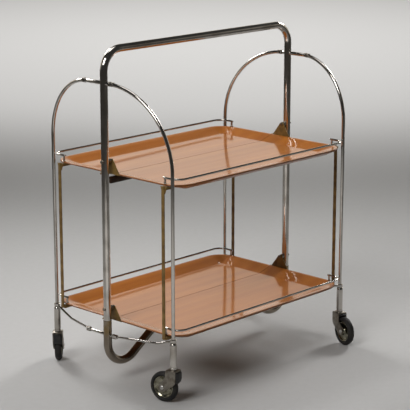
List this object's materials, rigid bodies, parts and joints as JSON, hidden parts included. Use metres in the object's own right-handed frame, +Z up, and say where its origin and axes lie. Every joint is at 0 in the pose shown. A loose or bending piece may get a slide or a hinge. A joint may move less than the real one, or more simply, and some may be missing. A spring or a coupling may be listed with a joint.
{
  "type": "folding serving trolley",
  "caption": "Folding serving trolley: bent-tube handle frame, swinging leg gates on castors and split wood trays that fold up against the frame.",
  "frame": {"origin": "on the floor under the middle of the trolley", "axes": "+X along the trays, +Y across them towards the narrow leaves, +Z up"},
  "size_m": [0.662, 0.5186, 0.806],
  "materials": {
    "chrome": "polished",
    "chrome_bow": "polished",
    "bright_steel": "satin",
    "steel": "satin",
    "brass": "dull",
    "laminate": "satin",
    "dark_wood": "satin",
    "black_plastic": "satin",
    "tyre": "matte"
  },
  "bodies": {
    "frame": {"handle_frame": "chrome", "lower_bow": "chrome_bow", "tray_pivot_bolts": "bright_steel", "cross_rod_upper_left": "chrome", "cross_rod_upper_right": "chrome", "cross_rod_lower_left": "chrome", "cross_rod_lower_right": "chrome", "leg_front_left": "chrome", "leg_arm_front_left": "chrome", "castor_socket_front_left": "chrome", "leg_front_right": "chrome", "leg_arm_front_right": "chrome", "castor_socket_front_right": "chrome", "leg_back_left": "chrome", "leg_arm_back_left": "chrome", "castor_socket_back_left": "chrome", "leg_back_right": "chrome", "leg_arm_back_right": "chrome", "castor_socket_back_right": "chrome"},
    "upper_front": {"tray_upper_front": "laminate", "rail_upper_front": "chrome", "brackets_upper_front": "brass", "tie_lugs_upper_front": "brass", "seam_batten": "dark_wood"},
    "upper_back": {"tray_upper_back": "laminate", "rail_upper_back": "chrome", "brackets_upper_back": "brass", "tie_lugs_upper_back": "brass"},
    "lower_front": {"tray_lower_front": "laminate", "rail_lower_front": "chrome", "brackets_lower_front": "brass", "tie_lugs_lower_front": "brass"},
    "lower_back": {"tray_lower_back": "laminate", "rail_lower_back": "chrome", "brackets_lower_back": "brass", "tie_lugs_lower_back": "brass"},
    "tie_bar_front_left": {"tie_bar_front_left": "brass"},
    "tie_bar_front_right": {"tie_bar_front_right": "brass"},
    "tie_bar_back_left": {"tie_bar_back_left": "brass"},
    "tie_bar_back_right": {"tie_bar_back_right": "brass"},
    "castor_front_left": {"fork_front_left": "steel", "hood_front_left": "black_plastic", "axle_front_left": "bright_steel"},
    "wheel_front_left": {"hub_front_left": "steel", "tyre_front_left": "tyre"},
    "castor_front_right": {"fork_front_right": "steel", "hood_front_right": "black_plastic", "axle_front_right": "bright_steel"},
    "wheel_front_right": {"hub_front_right": "steel", "tyre_front_right": "tyre"},
    "castor_back_left": {"fork_back_left": "steel", "hood_back_left": "black_plastic", "axle_back_left": "bright_steel"},
    "wheel_back_left": {"hub_back_left": "steel", "tyre_back_left": "tyre"},
    "castor_back_right": {"fork_back_right": "steel", "hood_back_right": "black_plastic", "axle_back_right": "bright_steel"},
    "wheel_back_right": {"hub_back_right": "steel", "tyre_back_right": "tyre"}
  },
  "joints": [
    {"name": "front_fold", "type": "hinge", "parent": "frame", "child": "upper_front", "pos_m": [0, 0, 0.54], "axis": [-1, 0, 0], "range_deg": [0, 90]},
    {"name": "back_fold", "type": "hinge", "parent": "frame", "child": "upper_back", "pos_m": [0, 0, 0.54], "axis": [1, 0, 0], "range_deg": [0, 90]},
    {"name": "lower_front_fold", "type": "hinge", "parent": "frame", "child": "lower_front", "pos_m": [0, 0, 0.1875], "axis": [-1, 0, 0], "range_deg": [0, 90]},
    {"name": "lower_back_fold", "type": "hinge", "parent": "frame", "child": "lower_back", "pos_m": [0, 0, 0.1875], "axis": [1, 0, 0], "range_deg": [0, 90]},
    {"name": "tie_front_left_turn", "type": "hinge", "parent": "upper_front", "child": "tie_bar_front_left", "pos_m": [-0.3045, -0.174, 0.5045], "axis": [-1, 0, 0], "range_deg": [-90, 0]},
    {"name": "tie_front_right_turn", "type": "hinge", "parent": "upper_front", "child": "tie_bar_front_right", "pos_m": [0.3045, -0.174, 0.5045], "axis": [-1, 0, 0], "range_deg": [-90, 0]},
    {"name": "tie_back_left_turn", "type": "hinge", "parent": "upper_back", "child": "tie_bar_back_left", "pos_m": [-0.3045, 0.174, 0.5045], "axis": [1, 0, 0], "range_deg": [-90, 0]},
    {"name": "tie_back_right_turn", "type": "hinge", "parent": "upper_back", "child": "tie_bar_back_right", "pos_m": [0.3045, 0.174, 0.5045], "axis": [1, 0, 0], "range_deg": [-90, 0]},
    {"name": "castor_front_left_swivel", "type": "hinge", "parent": "frame", "child": "castor_front_left", "pos_m": [-0.3, -0.2, 0.1], "axis": [0, 0, 1], "continuous": true},
    {"name": "wheel_front_left_spin", "type": "hinge", "parent": "castor_front_left", "child": "wheel_front_left", "pos_m": [-0.30477, -0.17546, 0.036], "axis": [-0.9816, -0.1908, 0], "continuous": true},
    {"name": "castor_front_right_swivel", "type": "hinge", "parent": "frame", "child": "castor_front_right", "pos_m": [0.3, -0.2, 0.1], "axis": [0, 0, 1], "continuous": true},
    {"name": "wheel_front_right_spin", "type": "hinge", "parent": "castor_front_right", "child": "wheel_front_right", "pos_m": [0.29269, -0.22391, 0.036], "axis": [0.9563, -0.2924, 0], "continuous": true},
    {"name": "castor_back_left_swivel", "type": "hinge", "parent": "frame", "child": "castor_back_left", "pos_m": [-0.3, 0.2, 0.1], "axis": [0, 0, 1], "continuous": true},
    {"name": "wheel_back_left_spin", "type": "hinge", "parent": "castor_back_left", "child": "wheel_back_left", "pos_m": [-0.28232, 0.21768, 0.036], "axis": [-0.7071, 0.7071, 0], "continuous": true},
    {"name": "castor_back_right_swivel", "type": "hinge", "parent": "frame", "child": "castor_back_right", "pos_m": [0.3, 0.2, 0.1], "axis": [0, 0, 1], "continuous": true},
    {"name": "wheel_back_right_spin", "type": "hinge", "parent": "castor_back_right", "child": "wheel_back_right", "pos_m": [0.30731, 0.22391, 0.036], "axis": [-0.9563, 0.2924, 0], "continuous": true}
  ],
  "couplings": [
    {"joint": "lower_front_fold", "follows": "front_fold", "ratio": 1},
    {"joint": "lower_back_fold", "follows": "back_fold", "ratio": 1},
    {"joint": "tie_front_left_turn", "follows": "front_fold", "ratio": -1},
    {"joint": "tie_front_right_turn", "follows": "front_fold", "ratio": -1},
    {"joint": "tie_back_left_turn", "follows": "back_fold", "ratio": -1},
    {"joint": "tie_back_right_turn", "follows": "back_fold", "ratio": -1}
  ]
}
